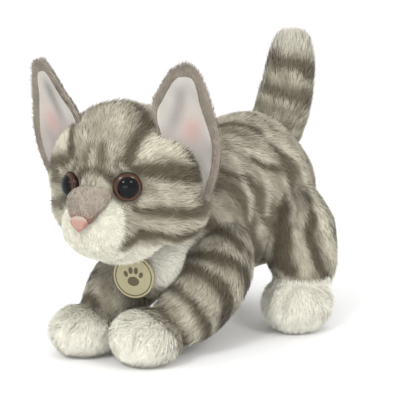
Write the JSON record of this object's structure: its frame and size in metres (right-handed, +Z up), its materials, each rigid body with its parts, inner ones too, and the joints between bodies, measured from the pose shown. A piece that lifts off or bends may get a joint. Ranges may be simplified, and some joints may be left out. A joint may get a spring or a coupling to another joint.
{
  "type": "plush cat",
  "caption": "Stuffed tabby kitten that crouches on its forelegs with its rump and tail up, head turned, with a round tag hanging under the chin.",
  "frame": {"origin": "on the floor, under the middle of the box round the cat", "axes": "+Z up, the cat faces -Y, its left side is +X"},
  "size_m": [0.144, 0.2466, 0.212],
  "materials": {
    "tabby_plush": "striped plush pile",
    "white_plush": "plush pile",
    "short_pile": "short velour pile",
    "satin": "satin",
    "pink_thread": "embroidered",
    "eye_brown": "polished",
    "eye_black": "polished",
    "washer_plastic": "moulded",
    "stuffing": "loose polyester fibre",
    "pellets": "plain woven bag of plastic pellets",
    "tag": "satin",
    "tag_border": "printed",
    "steel": "wire",
    "cord": "twisted thread"
  },
  "bodies": {
    "torso": {"torso_skin": "tabby_plush", "chest_panel": "white_plush", "torso_stuffing": "stuffing", "pendant_loop": "cord"},
    "head": {"head_skin": "tabby_plush", "muzzle_skin": "white_plush", "head_stuffing": "stuffing", "nose_bridge_panel": "short_pile", "nose": "pink_thread", "mouth_stitch": "pink_thread", "eye_left": "eye_brown", "pupil_left": "eye_black", "eye_washer_left": "washer_plastic", "eye_right": "eye_brown", "pupil_right": "eye_black", "eye_washer_right": "washer_plastic"},
    "ear_left": {"ear_left_shell": "short_pile", "ear_left_lining": "satin"},
    "ear_right": {"ear_right_shell": "short_pile", "ear_right_lining": "satin"},
    "tail": {"tail_skin": "tabby_plush", "tail_stuffing": "stuffing"},
    "pendant": {"pendant_disc": "tag", "pendant_border": "tag_border", "pendant_ring": "steel"},
    "foreleg_left": {"foreleg_left_skin": "tabby_plush", "foreleg_left_stuffing": "stuffing", "front_paw_left_skin": "white_plush", "front_paw_left_pellet_bag": "pellets"},
    "hind_leg_left": {"hind_leg_left_skin": "tabby_plush", "hind_leg_left_stuffing": "stuffing", "hind_foot_left_skin": "white_plush", "hind_foot_left_pellet_bag": "pellets"},
    "foreleg_right": {"foreleg_right_skin": "tabby_plush", "foreleg_right_stuffing": "stuffing", "front_paw_right_skin": "white_plush", "front_paw_right_pellet_bag": "pellets"},
    "hind_leg_right": {"hind_leg_right_skin": "tabby_plush", "hind_leg_right_stuffing": "stuffing", "hind_foot_right_skin": "white_plush", "hind_foot_right_pellet_bag": "pellets"}
  },
  "joints": [
    {"name": "head_turn", "type": "hinge", "parent": "torso", "child": "head", "pos_m": [0.005, -0.05876, 0.1245], "axis": [0, 0, 1], "range_deg": [-15, 15], "stiffness_Nm_per_rad": 0.5},
    {"name": "ear_left_flex", "type": "hinge", "parent": "head", "child": "ear_left", "pos_m": [0.04844, -0.05415, 0.1485], "axis": [0.5655, 0.8245, -0.0194], "range_deg": [-10, 10], "stiffness_Nm_per_rad": 0.04},
    {"name": "ear_right_flex", "type": "hinge", "parent": "head", "child": "ear_right", "pos_m": [-0.02945, -0.08561, 0.1485], "axis": [0.9795, -0.2003, 0.0194], "range_deg": [-10, 10], "stiffness_Nm_per_rad": 0.04},
    {"name": "tail_sway", "type": "hinge", "parent": "torso", "child": "tail", "pos_m": [0, 0.09125, 0.137], "axis": [0, 1, 0], "range_deg": [-18, 18], "stiffness_Nm_per_rad": 0.08},
    {"name": "foreleg_left_spread", "type": "hinge", "parent": "torso", "child": "foreleg_left", "pos_m": [0.013, 0.01724, 0.066], "axis": [0, 0, 1], "range_deg": [0, 14], "stiffness_Nm_per_rad": 1},
    {"name": "foreleg_right_spread", "type": "hinge", "parent": "torso", "child": "foreleg_right", "pos_m": [-0.013, 0.01724, 0.066], "axis": [0, 0, -1], "range_deg": [0, 14], "stiffness_Nm_per_rad": 1},
    {"name": "hind_leg_left_swing", "type": "hinge", "parent": "torso", "child": "hind_leg_left", "pos_m": [0.02, 0.07425, 0.092], "axis": [1, 0, 0], "range_deg": [-10, 10], "stiffness_Nm_per_rad": 1.5},
    {"name": "hind_leg_right_swing", "type": "hinge", "parent": "torso", "child": "hind_leg_right", "pos_m": [-0.02, 0.07425, 0.092], "axis": [1, 0, 0], "range_deg": [-10, 10], "stiffness_Nm_per_rad": 1.5},
    {"name": "pendant_swing", "type": "hinge", "parent": "torso", "child": "pendant", "pos_m": [0.0096, -0.05935, 0.07155], "axis": [-0.9119, -0.4104, 0], "range_deg": [-3, 35]}
  ]
}
